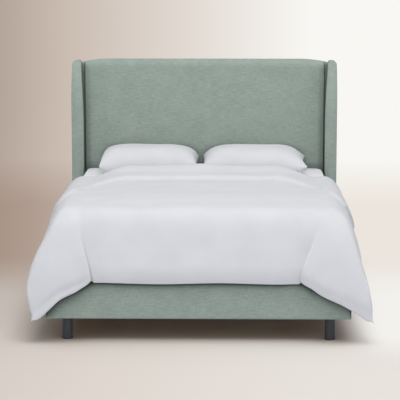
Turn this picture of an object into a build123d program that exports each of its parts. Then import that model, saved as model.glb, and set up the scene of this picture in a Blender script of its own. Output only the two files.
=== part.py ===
"""Upholstered wing bed, queen size, dressed with a duvet and two pillows.

Millimetres, +Z up. The origin is on the floor, at the middle of the whole bed in plan.
The foot of the bed is towards -Y and the headboard towards +Y.
"""
import os

from build123d import *

# Driving dimensions. The mattress is a queen, 60 by 80 inches, and the frame is built round it.
MATTRESS_WIDTH = 1524.0
MATTRESS_LENGTH = 2032.0
MATTRESS_HEIGHT = 300.0
HEADBOARD_HEIGHT = 1372.0
RAIL_BOTTOM = 117.0
RAIL_HEIGHT = 250.0

# Fabric and clearances that several pieces share
COVER = 1.5
SIDE_GAP = 8.0
FOOT_GAP = 8.0
HEAD_GAP = 6.0
SOFT_GAP = 0.3
FIT_GAP = 0.1
OVERRUN = 10.0

# Side and foot rails
RAIL_BOARD = 25.0
RAIL_FOAM = 16.5
RAIL_TOP_FOAM = 6.5
RAIL_EDGE = 12.0

# Headboard, from the face to the back
HEAD_FOAM = 32.0
HEAD_PANEL = 6.0
HEAD_FRAME = 38.0
BACK_PANEL = 3.0
HEAD_TOP_FOAM = 20.0
HEAD_TOP_EDGE = 45.0
HEAD_REAR_EDGE = 12.0
HEAD_CURVE_WIDTH = 157.0
HEAD_CURVE_DROP = 26.0
HEAD_PAD_BOTTOM = 240.0
BACK_PANEL_MARGIN = 18.0
STILE_WIDTH = 64.0
TOP_RAIL_HEIGHT = 110.0
MID_RAIL_HEIGHT = 90.0
MID_RAIL_BOTTOM = 700.0
BOTTOM_RAIL_HEIGHT = 140.0

# Wings
WING_BOARD = 18.0
WING_INNER_PAD = 32.0
WING_OUTER_PAD = 31.0
WING_EDGE_PAD = 14.0
WING_DEPTH = 144.5
WING_TOP_DEPTH = 48.0
WING_SWEEP_HEIGHT = 300.0
WING_TAPER_HEIGHT = 409.0
WING_TAPER = 22.5
WING_DROP = 6.0
WING_SHOULDER = 40.0
WING_EDGE = 20.0

# Front legs and what holds them
LEG_DIAMETER = 55.0
LEG_FOOT_DIAMETER = 59.0
LEG_FOOT_HEIGHT = 6.0
LEG_INSET = 110.5
LEG_SETBACK = 58.0
BLOCK_WIDTH = 135.0
BLOCK_DEPTH = 87.0
BLOCK_HEIGHT = 38.0
LEG_PLATE = 3.0
LEG_PLATE_WIDTH = 76.0
LEG_PLATE_EDGE = 1.0
LEG_BOLT_DIAMETER = 8.0
LEG_BOLT_IN_LEG = 42.0
LEG_BOLT_IN_BLOCK = 30.0
GLIDE_HEIGHT = 4.0
GLIDE_WIDTH = 30.0

# Ledges and slats under the box spring
LEDGE_WIDTH = 30.0
LEDGE_HEIGHT = 40.0
LEDGE_RISE = 88.0
LEDGE_START = 80.0
SLAT_COUNT = 5
SLAT_WIDTH = 64.0
SLAT_THICKNESS = 19.0
SLAT_END_GAP = 2.0
SLAT_FIRST = 152.0
SLAT_LAST = 50.0

# Support legs under the middle of the bed, with levelling feet
SUPPORT_WIDTH = 38.0
SUPPORT_RISE = 30.0
PAD_DIAMETER = 34.0
PAD_HEIGHT = 8.0
PAD_SOCKET = 4.0
STEM_DIAMETER = 8.0
STEM_TOP = 62.0
STEM_TRAVEL = 15.0
STEM_HEX = 13.0
STEM_HEX_HEIGHT = 5.0
TEE_FLANGE_DIAMETER = 22.0
TEE_FLANGE = 1.5
TEE_BARREL_DIAMETER = 11.0
TEE_BARREL_HEIGHT = 12.0
STEM_BORE_GAP = 0.6

# Steel brackets, with their bolts and threaded inserts
FOOT_BRACKET = 4.0
FOOT_BRACKET_LEG = 70.0
FOOT_BRACKET_HEIGHT = 36.0
FOOT_BRACKET_RISE = 46.0
FOOT_BOLT_NEAR = 26.0
FOOT_BOLT_FAR = 54.0
HEAD_BRACKET = 5.0
HEAD_BRACKET_HEIGHT = 40.0
HEAD_BRACKET_RISE = 5.0
HEAD_BRACKET_LAP = 120.0
HEAD_BRACKET_FLANGE = 68.0
HEAD_BOLT_PITCH = 60.0
HEAD_BOLT_END = 30.0
FLANGE_BOLT_EDGE = 16.0
FLANGE_BOLT_PITCH = 20.0
BOLT_DIAMETER = 8.0
BOLT_LENGTH = 22.0
BOLT_HEAD_DIAMETER = 14.0
BOLT_HEAD_HEIGHT = 4.4
BOLT_SOCKET = 5.0
BOLT_SOCKET_DEPTH = 2.6
INSERT_DIAMETER = 12.0
INSERT_LENGTH = 18.0

# Wood screws
SCREW_DIAMETER = 5.0
SCREW_HEAD_DIAMETER = 10.0
SCREW_HEAD_HEIGHT = 3.0
WING_SCREW_LENGTH = 50.0
WING_SCREW_COUNT = 4
WING_SCREW_MARGIN = 130.0
LEDGE_SCREW_LENGTH = 45.0
LEDGE_SCREW_COUNT = 6
LEDGE_SCREW_MARGIN = 140.0
SLAT_SCREW_LENGTH = 40.0
PLATE_SCREW_LENGTH = 24.0
PLATE_SCREW_EDGE = 11.0

# Mattress, box spring and fitted sheet
MATTRESS_CORNER = 60.0
MATTRESS_EDGE = 26.0
BOX_SPRING_HEIGHT = 140.0
BOX_SPRING_CORNER = 40.0
BOX_SPRING_EDGE = 8.0
SHEET = 1.5
SHEET_SIDE_DROP = 262.0

# Pillows
PILLOW_WIDTH = 640.0
PILLOW_DEPTH = 490.0
PILLOW_HEIGHT = 185.0
PILLOW_BETWEEN = 30.0
PILLOW_HEAD_GAP = 14.0
PILLOW_DRAW = 24.0

# Duvet
DUVET_FILL = 40.0
DUVET_HEM_FILL = 14.0
DUVET_SIDE_FLARE = 151.0
DUVET_FRONT_FLARE = 52.0
DUVET_TIP_REACH = 100.0
DUVET_TIP_SIDE = 108.0
DUVET_HEM = 320.0
DUVET_FRONT_HEM = 308.0
DUVET_TIP = 132.0
DUVET_CREASE_TOP = 130.0
DUVET_CREASE_HEM = 204.0
DUVET_CREASE_DEPTH = 12.0
DUVET_SIDE_FOLD = 430.0
DUVET_PILLOW_GAP = 85.0
DUVET_EDGE = 46.0
DUVET_CORNER = 50.0
DUVET_BULGE = 8.0
FLAP_LENGTH = 420.0
FLAP_FILL = 18.0
FLAP_HEM = 440.0

# Widths worked out from the sizes above
inner = MATTRESS_WIDTH / 2 + SIDE_GAP
rail_thickness = RAIL_BOARD + RAIL_FOAM + COVER
rail_outer = inner + rail_thickness
wing_board_in = inner + WING_INNER_PAD
wing_board_out = wing_board_in + WING_BOARD
wing_outer = wing_board_out + WING_OUTER_PAD
stile_in = wing_board_in - STILE_WIDTH

# Lengths along the bed, from the front of the foot rail
head_thickness = COVER + HEAD_FOAM + HEAD_PANEL + HEAD_FRAME + COVER + BACK_PANEL
frame_length = rail_thickness + FOOT_GAP + MATTRESS_LENGTH + HEAD_GAP + head_thickness
foot = -(frame_length - DUVET_TIP_REACH) / 2
foot_inner = foot + rail_thickness
mattress_foot = foot_inner + FOOT_GAP
mattress_head = mattress_foot + MATTRESS_LENGTH
face = mattress_head + HEAD_GAP
panel_front = face + COVER + HEAD_FOAM
frame_front = panel_front + HEAD_PANEL
frame_back = frame_front + HEAD_FRAME
pad_back = frame_back + COVER
back = pad_back + BACK_PANEL
wing_front = face - WING_DEPTH
wing_top_front = face - WING_TOP_DEPTH

# Heights
rail_top = RAIL_BOTTOM + RAIL_HEIGHT
board_bottom = RAIL_BOTTOM + COVER
board_top = rail_top - COVER - RAIL_TOP_FOAM
wing_top = HEADBOARD_HEIGHT - WING_DROP
ledge_top = RAIL_BOTTOM + LEDGE_RISE
slat_top = ledge_top + SLAT_THICKNESS
spring_bottom = slat_top + SOFT_GAP
spring_top = spring_bottom + BOX_SPRING_HEIGHT
mattress_bottom = spring_top + SOFT_GAP
mattress_top = mattress_bottom + MATTRESS_HEIGHT
sheet_top = mattress_top + SOFT_GAP + SHEET
bedding_floor = sheet_top + SOFT_GAP

# Places of the repeated pieces
leg_x = rail_outer - LEG_INSET
leg_y = foot + LEG_SETBACK
slat_first = foot_inner + SLAT_FIRST
slat_last = wing_front - SLAT_LAST
slat_pitch = (slat_last - slat_first) / (SLAT_COUNT - 1)
slat_places = [slat_first + i * slat_pitch for i in range(SLAT_COUNT)]
support_places = slat_places[1:-1]


def block(x, y, z):
    """A box between the low and high values of each pair."""
    size = (x[1] - x[0], y[1] - y[0], z[1] - z[0])
    middle = ((x[0] + x[1]) / 2, (y[0] + y[1]) / 2, (z[0] + z[1]) / 2)
    return Pos(*middle) * Box(*size)


def rod(diameter, low, high):
    """A round bar along Z between two heights."""
    return Pos(0, 0, (low + high) / 2) * Cylinder(diameter / 2, high - low)


def mirrored(shape):
    """The same piece for the other side of the bed."""
    return mirror(shape, Plane.YZ)


def side_extrude(outline, low, high):
    """An outline drawn as (y, z), extruded from one x to another."""
    return extrude(Pos(low, 0, 0) * (Plane.YZ * outline), high - low)


def front_extrude(outline, low, high):
    """An outline drawn as (x, z), extruded from one y to another."""
    return extrude(Pos(0, high, 0) * (Plane.XZ * outline), high - low)


def placed(shape, places):
    """Copies of one piece, each at its own location."""
    return [place * shape for place in places]


# Which way a fastener points, from its head to its tip
TO_RIGHT = (0, 90, 0)
TO_LEFT = (0, -90, 0)
TO_HEAD = (-90, 0, 0)
TO_FOOT = (90, 0, 0)
TO_FLOOR = (180, 0, 0)


def bolt():
    """Socket button bolt with its head below zero and its shank above."""
    head = rod(BOLT_HEAD_DIAMETER, -BOLT_HEAD_HEIGHT, 0)
    head = fillet(head.edges().sort_by(Axis.Z)[0], BOLT_HEAD_HEIGHT / 2)
    socket = extrude(RegularPolygon(BOLT_SOCKET / 2, 6, major_radius=False), BOLT_SOCKET_DEPTH)
    return head + rod(BOLT_DIAMETER, 0, BOLT_LENGTH) - Pos(0, 0, -BOLT_HEAD_HEIGHT) * socket


def insert(start):
    """Threaded sleeve round a bolt, from the face of the wood inwards."""
    sleeve = rod(INSERT_DIAMETER, start, start + INSERT_LENGTH)
    return sleeve - rod(BOLT_DIAMETER + 2 * FIT_GAP, start - OVERRUN, start + INSERT_LENGTH + OVERRUN)


def insert_hole(start):
    """Blind hole in the wood for a threaded sleeve and the tip of its bolt."""
    return rod(INSERT_DIAMETER + 2 * FIT_GAP, start - OVERRUN, start + INSERT_LENGTH + FIT_GAP)


def screw(length):
    """Countersunk wood screw with the top of its head at zero."""
    head = Pos(0, 0, SCREW_HEAD_HEIGHT / 2) * Cone(
        SCREW_HEAD_DIAMETER / 2, SCREW_DIAMETER / 2, SCREW_HEAD_HEIGHT
    )
    return head + rod(SCREW_DIAMETER, SCREW_HEAD_HEIGHT, length)


def screw_hole(length):
    """The countersunk hole of a wood screw, a little larger all round."""
    head = Pos(0, 0, SCREW_HEAD_HEIGHT / 2) * Cone(
        SCREW_HEAD_DIAMETER / 2 + FIT_GAP, SCREW_DIAMETER / 2 + FIT_GAP, SCREW_HEAD_HEIGHT
    )
    return head + rod(SCREW_DIAMETER + 2 * FIT_GAP, SCREW_HEAD_HEIGHT, length + FIT_GAP)


def even(first, last, count):
    """Evenly spaced values from the first to the last."""
    return [first + i * (last - first) / (count - 1) for i in range(count)]


# Where the fasteners of the right-hand side stand, by what they join
foot_bracket_low = RAIL_BOTTOM + FOOT_BRACKET_RISE
foot_bolt_z = foot_bracket_low + FOOT_BRACKET_HEIGHT / 2
head_bracket_low = RAIL_BOTTOM + HEAD_BRACKET_RISE
head_bolt_z = head_bracket_low + HEAD_BRACKET_HEIGHT / 2
foot_side_bolts = [
    Location((inner - FOOT_BRACKET, foot_inner + along, foot_bolt_z), TO_RIGHT)
    for along in (FOOT_BOLT_NEAR, FOOT_BOLT_FAR)
]
foot_end_bolts = [
    Location((inner - along, foot_inner + FOOT_BRACKET, foot_bolt_z), TO_FOOT)
    for along in (FOOT_BOLT_NEAR, FOOT_BOLT_FAR)
]
head_side_bolts = [
    Location((inner - HEAD_BRACKET, wing_front - HEAD_BOLT_END - along, head_bolt_z), TO_RIGHT)
    for along in (0, HEAD_BOLT_PITCH)
]
flange_in = inner - HEAD_BRACKET_FLANGE
head_end_bolts = [
    Location((flange_in + FLANGE_BOLT_EDGE, panel_front - HEAD_BRACKET, head_bolt_z + up), TO_HEAD)
    for up in (-FLANGE_BOLT_PITCH / 2, FLANGE_BOLT_PITCH / 2)
]
wing_screws = [
    Location((wing_board_out, frame_front + HEAD_FRAME / 2, z), TO_LEFT)
    for z in even(RAIL_BOTTOM + WING_SCREW_MARGIN, wing_top - WING_SCREW_MARGIN, WING_SCREW_COUNT)
]
ledge_start = foot_inner + LEDGE_START
ledge_screws = [
    Location((inner - LEDGE_WIDTH, y, ledge_top - LEDGE_HEIGHT / 2), TO_RIGHT)
    for y in even(ledge_start + LEDGE_SCREW_MARGIN, wing_front - LEDGE_SCREW_MARGIN, LEDGE_SCREW_COUNT)
]
slat_screws = [Location((inner - LEDGE_WIDTH / 2, y, slat_top), TO_FLOOR) for y in slat_places]
plate_front = foot_inner + LEG_PLATE_EDGE
plate_screws = [
    Location((leg_x + i * (LEG_PLATE_WIDTH / 2 - PLATE_SCREW_EDGE), y, RAIL_BOTTOM))
    for i in (-1, 1)
    for y in (plate_front + LEG_PLATE_WIDTH / 2, plate_front + LEG_PLATE_WIDTH - PLATE_SCREW_EDGE)
]


def rail_form(length_axis, inset):
    """Padded rail with rounded outer edges, pulled in all round by the inset."""
    outer = rail_thickness - inset
    radius = RAIL_EDGE - inset
    low = RAIL_BOTTOM + inset
    high = rail_top - inset
    outline = Rectangle(outer, high - low, align=(Align.MIN, Align.MIN))
    corners = outline.vertices().group_by(Axis.X)[-1]
    outline = Pos(0, low) * fillet(corners, radius)
    if length_axis == "side":
        return Pos(inner, 0, 0) * front_extrude(outline, foot_inner, wing_front)
    turned = Plane((0, foot_inner, 0), x_dir=(0, -1, 0), z_dir=(-1, 0, 0))
    half = rail_outer - inset
    bar = extrude(turned * outline, half, both=True)
    ends = [edge for edge in bar.edges().filter_by(Axis.Z) if edge.center().Y < foot_inner - inset]
    return fillet(ends, radius)


def make_side_rail():
    """Board, foam and cover of the right-hand side rail."""
    board = block((inner, inner + RAIL_BOARD), (foot_inner, wing_front), (board_bottom, board_top))
    foam = rail_form("side", COVER) - board
    cover = rail_form("side", 0) - rail_form("side", COVER)
    for place in foot_side_bolts:
        board -= place * insert_hole(FOOT_BRACKET)
    for place in head_side_bolts:
        board -= place * insert_hole(HEAD_BRACKET)
    for place in ledge_screws:
        board -= place * screw_hole(LEDGE_SCREW_LENGTH)
    return board, foam, cover


def make_foot_rail():
    """Board, foam and cover of the foot rail, which runs across both side rails."""
    half = rail_outer - COVER - RAIL_FOAM
    board = block((-half, half), (foot_inner - RAIL_BOARD, foot_inner), (board_bottom, board_top))
    foam = rail_form("foot", COVER) - board
    cover = rail_form("foot", 0) - rail_form("foot", COVER)
    for place in foot_end_bolts:
        board -= place * insert_hole(FOOT_BRACKET)
        board -= mirrored(place * insert_hole(FOOT_BRACKET))
    return board, foam, cover


def head_outline(inset):
    """Front outline of the headboard: a flat top that falls in a soft curve to each end."""
    top = HEADBOARD_HEIGHT - inset
    flat = wing_board_in - HEAD_CURVE_WIDTH
    end = top - HEAD_CURVE_DROP
    right = TangentArc((flat, top), (wing_board_in, end), tangent=(1, 0))
    left = TangentArc((-flat, top), (-wing_board_in, end), tangent=(-1, 0))
    edges = [
        Line((-flat, top), (flat, top)),
        right,
        Line((wing_board_in, end), (wing_board_in, board_bottom)),
        Line((wing_board_in, board_bottom), (-wing_board_in, board_bottom)),
        Line((-wing_board_in, board_bottom), (-wing_board_in, end)),
        left,
    ]
    return make_face(Wire(edges).edges())


def top_edges(form, y):
    """The edges round the top of the headboard that lie in the plane at the given y."""
    low = HEADBOARD_HEIGHT - 2 * HEAD_CURVE_DROP - HEAD_TOP_EDGE
    edges = form.edges().filter_by_position(Axis.Y, y - FIT_GAP, y + FIT_GAP)
    return [edge for edge in edges if edge.center().Z > low]


def head_form(inset):
    """Padded headboard with a large round along its front top edge."""
    form = front_extrude(head_outline(inset), face + inset, pad_back - inset)
    form = fillet(top_edges(form, face + inset), HEAD_TOP_EDGE - inset)
    form = fillet(top_edges(form, pad_back - inset), HEAD_REAR_EDGE - inset)
    above = HEADBOARD_HEIGHT + OVERRUN
    return form & block((-wing_outer, wing_outer), (foot, back), (HEAD_PAD_BOTTOM, above))


def make_headboard():
    """Timber frame, face panel, foam, cover and back panel of the headboard."""
    core_inset = COVER + HEAD_TOP_FOAM
    core_top = HEADBOARD_HEIGHT - core_inset
    core = front_extrude(head_outline(core_inset), frame_front, frame_back)
    panel = front_extrude(head_outline(core_inset), panel_front, frame_front)
    depth = (frame_front, frame_back)
    between = (-stile_in, stile_in)
    high = core_top + OVERRUN
    post = block((stile_in, wing_board_in), depth, (GLIDE_HEIGHT, board_bottom))
    stile = core & block((stile_in, wing_board_in + OVERRUN), depth, (board_bottom, high))
    stile = stile + post
    for place in wing_screws:
        stile -= place * screw_hole(WING_SCREW_LENGTH)
    bottom_rail = block(between, depth, (board_bottom, board_bottom + BOTTOM_RAIL_HEIGHT))
    for place in head_end_bolts:
        hole = place * insert_hole(HEAD_BRACKET + HEAD_PANEL)
        through = place * rod(INSERT_DIAMETER, 0, HEAD_BRACKET + HEAD_PANEL + FIT_GAP)
        bottom_rail -= hole + mirrored(hole)
        panel -= through + mirrored(through)
    foam = head_form(COVER) - core - panel
    cover = head_form(0) - head_form(COVER)
    back_panel = front_extrude(head_outline(BACK_PANEL_MARGIN), pad_back, back)
    back_low = HEAD_PAD_BOTTOM
    edge = wing_board_in - BACK_PANEL_MARGIN
    back_panel &= block((-edge, edge), (pad_back, back), (back_low, HEADBOARD_HEIGHT))
    return {
        "headboard_stile_right": stile,
        "headboard_stile_left": mirrored(stile),
        "headboard_top_rail": core & block(between, depth, (core_top - TOP_RAIL_HEIGHT, high)),
        "headboard_mid_rail": block(between, depth, (MID_RAIL_BOTTOM, MID_RAIL_BOTTOM + MID_RAIL_HEIGHT)),
        "headboard_bottom_rail": bottom_rail,
        "headboard_face_panel": panel,
        "headboard_foam": foam,
        "headboard_cover": cover,
        "headboard_back_panel": back_panel,
    }


def wing_side_outline(inset):
    """Side outline of a wing: straight below, then swept back in an arc to a round shoulder."""
    front = wing_front + inset
    top = wing_top - inset
    top_front = wing_top_front + inset
    start = top - WING_SWEEP_HEIGHT
    rear = back - inset
    edges = [
        Line((rear, RAIL_BOTTOM), (front, RAIL_BOTTOM)),
        Line((front, RAIL_BOTTOM), (front, start)),
        TangentArc((front, start), (top_front, top), tangent=(0, 1)),
        Line((top_front, top), (rear, top)),
        Line((rear, top), (rear, RAIL_BOTTOM)),
    ]
    outline = make_face(Wire(edges).edges())
    corner = outline.vertices().sort_by_distance((top_front, top))[0]
    return fillet(corner, WING_SHOULDER - inset)


def wing_front_outline(inset):
    """Front outline of a wing: upright outside, thinned on the inside towards the top."""
    low_in = inner + inset
    high_in = inner + WING_TAPER + inset
    out = wing_outer - inset
    top = wing_top + OVERRUN
    start = wing_top - WING_TAPER_HEIGHT
    edges = [
        Line((low_in, RAIL_BOTTOM - OVERRUN), (out, RAIL_BOTTOM - OVERRUN)),
        Line((out, RAIL_BOTTOM - OVERRUN), (out, top)),
        Line((out, top), (high_in, top)),
        TangentArc((low_in, start), (high_in, top), tangent=(0, 1)),
        Line((low_in, start), (low_in, RAIL_BOTTOM - OVERRUN)),
    ]
    return make_face(Wire(edges).edges())


def wing_form(inset):
    """Padded right-hand wing with rounded edges, notched for the end of the headboard."""
    side = side_extrude(wing_side_outline(inset), inner, wing_outer)
    form = side & front_extrude(wing_front_outline(inset), wing_front, back)
    edges = [
        edge
        for edge in form.edges()
        if edge.bounding_box().size.X < WING_BOARD
        and edge.center().Y < back - inset - FIT_GAP
        and edge.center().Z > RAIL_BOTTOM + FIT_GAP
    ]
    form = fillet(edges, WING_EDGE - inset)
    notch = block((0, wing_board_in), (face, back + OVERRUN), (0, HEADBOARD_HEIGHT + OVERRUN))
    return form - notch


def make_wing():
    """Board, foam and cover of the right-hand wing."""
    board = side_extrude(wing_side_outline(WING_EDGE_PAD), wing_board_in, wing_board_out)
    strip = block((wing_board_in, wing_board_out), (frame_front, back - COVER), (RAIL_BOTTOM, board_bottom))
    board += strip
    foam = wing_form(COVER) - board
    cover = wing_form(0) - wing_form(COVER)
    for place in wing_screws:
        board -= place * screw_hole(WING_SCREW_LENGTH)
    return board, foam, cover


def make_leg():
    """Turned leg with a slightly wider foot, bored for its hanger bolt."""
    low = GLIDE_HEIGHT
    leg = rod(LEG_DIAMETER, low, RAIL_BOTTOM) + rod(LEG_FOOT_DIAMETER, low, low + LEG_FOOT_HEIGHT)
    bore = rod(LEG_BOLT_DIAMETER + 2 * FIT_GAP, RAIL_BOTTOM - LEG_BOLT_IN_LEG - FIT_GAP, RAIL_BOTTOM + OVERRUN)
    return Pos(leg_x, leg_y, 0) * (leg - bore)


def make_leg_fixing():
    """Corner block, leg plate and hanger bolt of the right-hand front leg."""
    plate_top = RAIL_BOTTOM + LEG_PLATE
    wood = block(
        (inner - BLOCK_WIDTH, inner), (foot_inner, foot_inner + BLOCK_DEPTH), (plate_top, plate_top + BLOCK_HEIGHT)
    )
    plate = block(
        (leg_x - LEG_PLATE_WIDTH / 2, leg_x + LEG_PLATE_WIDTH / 2),
        (plate_front, plate_front + LEG_PLATE_WIDTH),
        (RAIL_BOTTOM, plate_top),
    )
    stud = rod(LEG_BOLT_DIAMETER, RAIL_BOTTOM - LEG_BOLT_IN_LEG, plate_top + LEG_BOLT_IN_BLOCK)
    bore = rod(
        LEG_BOLT_DIAMETER + 2 * FIT_GAP, RAIL_BOTTOM - OVERRUN, plate_top + LEG_BOLT_IN_BLOCK + FIT_GAP
    )
    bore = Pos(leg_x, leg_y, 0) * bore
    wood -= bore
    plate -= bore
    for place in plate_screws:
        wood -= place * screw_hole(PLATE_SCREW_LENGTH)
        plate -= place * screw_hole(PLATE_SCREW_LENGTH)
    return wood, plate, Pos(leg_x, leg_y, 0) * stud


def make_foot_bracket():
    """Steel angle in the corner between the right-hand side rail and the foot rail."""
    height = (foot_bracket_low, foot_bracket_low + FOOT_BRACKET_HEIGHT)
    along = block((inner - FOOT_BRACKET, inner), (foot_inner, foot_inner + FOOT_BRACKET_LEG), height)
    across = block((inner - FOOT_BRACKET_LEG, inner), (foot_inner, foot_inner + FOOT_BRACKET), height)
    bracket = along + across
    for place in foot_side_bolts + foot_end_bolts:
        bracket -= place * rod(BOLT_DIAMETER + 2 * FIT_GAP, -OVERRUN, FOOT_BRACKET + OVERRUN)
    return bracket


def make_head_bracket():
    """Long steel angle from the right-hand side rail to the headboard's bottom rail."""
    height = (head_bracket_low, head_bracket_low + HEAD_BRACKET_HEIGHT)
    start = wing_front - HEAD_BRACKET_LAP
    along = block((inner - HEAD_BRACKET, inner), (start, panel_front), height)
    flange = block((flange_in, inner), (panel_front - HEAD_BRACKET, panel_front), height)
    bracket = along + flange
    for place in head_side_bolts + head_end_bolts:
        bracket -= place * rod(BOLT_DIAMETER + 2 * FIT_GAP, -OVERRUN, HEAD_BRACKET + OVERRUN)
    return bracket


def make_ledge():
    """Timber ledge along the inside of the right-hand side rail."""
    ledge = block((inner - LEDGE_WIDTH, inner), (ledge_start, wing_front), (ledge_top - LEDGE_HEIGHT, ledge_top))
    for place in ledge_screws:
        ledge -= place * screw_hole(LEDGE_SCREW_LENGTH)
    for place in slat_screws:
        ledge -= place * screw_hole(SLAT_SCREW_LENGTH)
    return ledge


def make_slat(y):
    """One cross slat, screwed to both ledges."""
    half = inner - SLAT_END_GAP
    slat = block((-half, half), (y - SLAT_WIDTH / 2, y + SLAT_WIDTH / 2), (ledge_top, slat_top))
    hole = Location((inner - LEDGE_WIDTH / 2, y, slat_top), TO_FLOOR) * screw_hole(SLAT_SCREW_LENGTH)
    return slat - hole - mirrored(hole)


def make_support(y):
    """Square post under a slat, with its tee nut, threaded stem and foot pad."""
    half = SUPPORT_WIDTH / 2
    barrel_top = SUPPORT_RISE + TEE_BARREL_HEIGHT
    bore = rod(STEM_DIAMETER + 2 * STEM_BORE_GAP, SUPPORT_RISE - OVERRUN, STEM_TOP + STEM_TRAVEL + OVERRUN)
    post = block((-half, half), (-half, half), (SUPPORT_RISE, ledge_top)) - bore
    post -= rod(TEE_BARREL_DIAMETER + 2 * FIT_GAP, SUPPORT_RISE - OVERRUN, barrel_top + FIT_GAP)
    nut = rod(TEE_FLANGE_DIAMETER, SUPPORT_RISE - TEE_FLANGE, SUPPORT_RISE)
    nut += rod(TEE_BARREL_DIAMETER, SUPPORT_RISE, barrel_top)
    nut -= rod(STEM_DIAMETER + 2 * FIT_GAP, 0, barrel_top + OVERRUN)
    stem = rod(STEM_DIAMETER, PAD_SOCKET, STEM_TOP)
    stem = chamfer(stem.edges().sort_by(Axis.Z)[-1], TEE_FLANGE)
    hexagon = extrude(RegularPolygon(STEM_HEX / 2, 6, major_radius=False), STEM_HEX_HEIGHT)
    stem += Pos(0, 0, PAD_HEIGHT + SOFT_GAP) * hexagon
    pad = rod(PAD_DIAMETER, 0, PAD_HEIGHT)
    pad = chamfer(pad.edges().sort_by(Axis.Z)[-1], PAD_HEIGHT / 4)
    pad -= rod(STEM_DIAMETER + 2 * FIT_GAP, PAD_SOCKET, PAD_HEIGHT + OVERRUN)
    return [Pos(0, y, 0) * piece for piece in (post, nut, stem, pad)]


def make_glides():
    """Nail-on glides under the two legs and the two headboard stiles."""
    round_glide = rod(LEG_DIAMETER, 0, GLIDE_HEIGHT)
    stile_middle = ((stile_in + wing_board_in) / 2, frame_front + HEAD_FRAME / 2)
    square_glide = extrude(RectangleRounded(GLIDE_WIDTH * 2, GLIDE_WIDTH, GLIDE_HEIGHT), GLIDE_HEIGHT)
    right = [Pos(leg_x, leg_y, 0) * round_glide, Pos(*stile_middle, 0) * square_glide]
    return right + [mirrored(piece) for piece in right]


def mattress_form(grow):
    """Mattress block with rounded corners and edges, grown all round by the given amount."""
    middle = (mattress_foot + mattress_head) / 2
    plan = RectangleRounded(
        MATTRESS_WIDTH + 2 * grow, MATTRESS_LENGTH + 2 * grow, MATTRESS_CORNER + grow
    )
    form = Pos(0, middle, mattress_bottom) * extrude(plan, MATTRESS_HEIGHT + grow)
    return fillet(form.faces().sort_by(Axis.Z)[-1].edges(), MATTRESS_EDGE + grow)


def make_mattress():
    """Mattress, rounded along its lower edge as well."""
    form = mattress_form(0)
    return fillet(form.faces().sort_by(Axis.Z)[0].edges(), MATTRESS_EDGE)


def make_sheet():
    """Fitted sheet, a thin shell over the top and most of the sides of the mattress."""
    shell = mattress_form(SOFT_GAP + SHEET) - mattress_form(SOFT_GAP)
    low = mattress_top - SHEET_SIDE_DROP
    return shell & block((-inner, inner), (foot_inner, face), (low, sheet_top + OVERRUN))


def make_box_spring():
    """Low box spring on the slats."""
    middle = (mattress_foot + mattress_head) / 2
    plan = RectangleRounded(MATTRESS_WIDTH, MATTRESS_LENGTH, BOX_SPRING_CORNER)
    form = Pos(0, middle, spring_bottom) * extrude(plan, BOX_SPRING_HEIGHT)
    ends = form.faces().filter_by(Axis.Z)
    return fillet(ends.sort_by(Axis.Z)[0].edges() + ends.sort_by(Axis.Z)[-1].edges(), BOX_SPRING_EDGE)


# Heights of the pillow's sections as shares of its height, with the share of its plan at each
PILLOW_LEVEL_SHARES = [
    (0.0, 0.62), (0.10, 0.80), (0.38, 1.0), (0.62, 0.93), (0.84, 0.76), (0.96, 0.52), (1.0, 0.30)
]


def pillow_outline(share):
    """Plan of a pillow at one level: pointed corners, with the sides drawn in between them."""
    x = share * PILLOW_WIDTH / 2
    y = share * PILLOW_DEPTH / 2
    draw = share * PILLOW_DRAW
    edges = [
        ThreePointArc((-x, -y), (0, -y + draw), (x, -y)),
        ThreePointArc((x, -y), (x - draw, 0), (x, y)),
        ThreePointArc((x, y), (0, y - draw), (-x, y)),
        ThreePointArc((-x, y), (-x + draw, 0), (-x, -y)),
    ]
    return make_face(Wire(edges).edges())


def make_pillow():
    """Right-hand pillow, flat below and crowned above, lying against the headboard."""
    sections = [
        Pos(0, 0, level * PILLOW_HEIGHT) * pillow_outline(share) for level, share in PILLOW_LEVEL_SHARES
    ]
    x = (PILLOW_BETWEEN + PILLOW_WIDTH) / 2
    y = face - PILLOW_HEAD_GAP - PILLOW_DEPTH / 2
    return Pos(x, y, bedding_floor) * loft(sections, ruled=True)


duvet_top = bedding_floor + DUVET_FILL
duvet_head = face - PILLOW_HEAD_GAP - PILLOW_DEPTH - DUVET_PILLOW_GAP

# Levels of the duvet's surface as shares: how far down its fall, of its flare, and of its round edge
DUVET_LEVEL_SHARES = [
    (0.0, 0.0, 1.0), (0.03, 0.08, 0.35), (0.075, 0.2, 0.0), (0.15, 0.4, 0.0), (0.33, 0.66, 0.0),
    (0.66, 1.0, 0.0), (1.0, 1.06, 0.0),
]
# The share of the fall from which the hollow under the duvet follows the surface
DUVET_HOLLOW_SHARE = 0.1


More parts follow.
